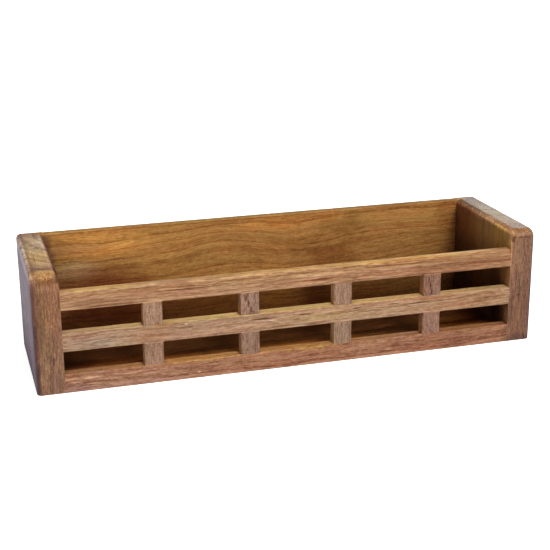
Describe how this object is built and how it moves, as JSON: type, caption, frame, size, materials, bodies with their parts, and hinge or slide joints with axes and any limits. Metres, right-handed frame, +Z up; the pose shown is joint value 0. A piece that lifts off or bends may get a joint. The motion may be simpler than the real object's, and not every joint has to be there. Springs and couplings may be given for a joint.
{
  "type": "condiment caddy",
  "caption": "Open-topped wooden caddy with two thick rounded end boards, a lattice front of rails and uprights, a back panel and a floor, to hold jars and mills.",
  "frame": {"origin": "middle of the base, halfway along the length and halfway through the depth", "axes": "+X along the length, to the right as seen from the front; +Y from the lattice front towards the back panel; +Z up"},
  "size_m": [0.406, 0.114, 0.095],
  "materials": {
    "end_board": "oiled, upright grain, end grain on the top edges",
    "lattice": "oiled, sanded smooth, grain along each strip",
    "panel": "oiled, golden, grain along the length"
  },
  "bodies": {
    "root": {"left_end": "end_board", "right_end": "end_board", "back_panel": "panel", "floor_panel": "panel", "bottom_rail": "lattice", "middle_rail": "lattice", "top_rail": "lattice", "upright_1": "lattice", "upright_2": "lattice", "upright_3": "lattice", "upright_4": "lattice"}
  },
  "joints": []
}
